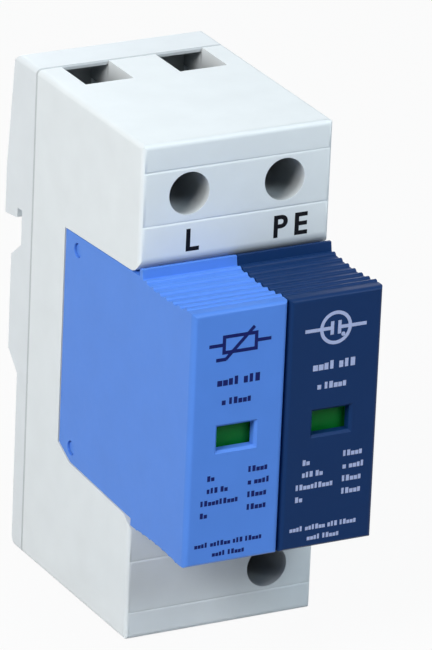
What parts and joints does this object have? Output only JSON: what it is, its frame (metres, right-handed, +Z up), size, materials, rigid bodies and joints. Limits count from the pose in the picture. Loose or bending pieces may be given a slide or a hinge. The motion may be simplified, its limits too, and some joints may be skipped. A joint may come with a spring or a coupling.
{
  "type": "din rail surge arrester",
  "caption": "Rail-mounted surge arrester: a light grey C-shaped base with three clamp terminals holds a blue and a navy plug-in module with ribbed grips and status windows.",
  "frame": {"origin": "on the rail's centre line at mid width, in the plane of the rail seat", "axes": "+X to the right seen from the front and along the rail, +Y back towards the rail, +Z up"},
  "size_m": [0.036, 0.071, 0.09],
  "materials": {
    "housing_plastic": "light grey moulded thermoplastic, satin",
    "cover_plastic": "light grey moulded thermoplastic, satin",
    "latch_plastic": "grey moulded thermoplastic",
    "blue_plastic": "blue moulded thermoplastic, satin",
    "navy_plastic": "dark blue moulded thermoplastic, satin",
    "spring_steel": "bright spring wire",
    "zinc_steel": "zinc-plated steel",
    "copper": "bare copper strip",
    "tinned_copper": "tin-plated copper",
    "varistor_coat": "epoxy-coated zinc oxide block",
    "ceramic": "white ceramic",
    "flag_green": "green over red moulded plastic",
    "clear_lens": "clear moulded plastic"
  },
  "bodies": {
    "base": {"housing": "housing_plastic", "rear_cover": "cover_plastic", "latch_spring": "spring_steel", "line_contact": "copper", "earth_contact": "copper", "neutral_busbar": "copper"},
    "latch": {"rail_latch": "latch_plastic"},
    "line_module": {"line_case": "blue_plastic", "line_lid": "blue_plastic", "line_upper_blade": "tinned_copper", "line_lower_blade": "tinned_copper", "line_release_strip": "copper", "line_flag_spring": "spring_steel", "line_window": "clear_lens", "line_varistor": "varistor_coat"},
    "line_indicator": {"line_flag": "flag_green"},
    "earth_module": {"earth_case": "navy_plastic", "earth_lid": "navy_plastic", "earth_upper_blade": "tinned_copper", "earth_lower_blade": "tinned_copper", "earth_release_strip": "copper", "earth_flag_spring": "spring_steel", "earth_window": "clear_lens", "earth_gas_tube": "ceramic", "earth_tube_caps": "tinned_copper"},
    "earth_indicator": {"earth_flag": "flag_green"},
    "line_clamp_screw": {"line_screw": "zinc_steel"},
    "line_clamp_cage": {"line_cage": "zinc_steel"},
    "earth_clamp_screw": {"earth_screw": "zinc_steel"},
    "earth_clamp_cage": {"earth_cage": "zinc_steel"},
    "neutral_clamp_screw": {"neutral_screw": "zinc_steel"},
    "neutral_clamp_cage": {"neutral_cage": "zinc_steel"}
  },
  "joints": [
    {"name": "latch_slide", "type": "slide", "parent": "base", "child": "latch", "axis": [0, 0, -1], "range_m": [0, 0.003], "stiffness_N_per_m": 800, "springref_m": -0.002, "deforming": ["latch_spring"]},
    {"name": "line_module_pull", "type": "slide", "parent": "base", "child": "line_module", "axis": [0, -1, 0], "range_m": [0, 0.045]},
    {"name": "line_flag_trip", "type": "slide", "parent": "line_module", "child": "line_indicator", "axis": [0, 0, 1], "range_m": [0, 0.0056], "deforming": ["line_flag_spring"]},
    {"name": "earth_module_pull", "type": "slide", "parent": "base", "child": "earth_module", "axis": [0, -1, 0], "range_m": [0, 0.045]},
    {"name": "earth_flag_trip", "type": "slide", "parent": "earth_module", "child": "earth_indicator", "axis": [0, 0, 1], "range_m": [0, 0.0056], "deforming": ["earth_flag_spring"]},
    {"name": "line_cage_lift", "type": "slide", "parent": "base", "child": "line_clamp_cage", "axis": [0, -1, 0], "range_m": [0, 0.0068]},
    {"name": "line_screw_turn", "type": "hinge", "parent": "base", "child": "line_clamp_screw", "pos_m": [-0.009, -0.02, 0.0355], "axis": [0, 1, 0], "range_deg": [0, 3060]},
    {"name": "earth_cage_lift", "type": "slide", "parent": "base", "child": "earth_clamp_cage", "axis": [0, -1, 0], "range_m": [0, 0.0068]},
    {"name": "earth_screw_turn", "type": "hinge", "parent": "base", "child": "earth_clamp_screw", "pos_m": [0.009, -0.02, 0.0355], "axis": [0, 1, 0], "range_deg": [0, 3060]},
    {"name": "neutral_cage_lift", "type": "slide", "parent": "base", "child": "neutral_clamp_cage", "axis": [0, -1, 0], "range_m": [0, 0.0068]},
    {"name": "neutral_screw_turn", "type": "hinge", "parent": "base", "child": "neutral_clamp_screw", "pos_m": [0.009, -0.02, -0.0355], "axis": [0, 1, 0], "range_deg": [0, 3060]}
  ],
  "couplings": [
    {"joint": "line_screw_turn", "follows": "line_cage_lift", "rad_per_m": 7854},
    {"joint": "earth_screw_turn", "follows": "earth_cage_lift", "rad_per_m": 7854},
    {"joint": "neutral_screw_turn", "follows": "neutral_cage_lift", "rad_per_m": 7854}
  ]
}
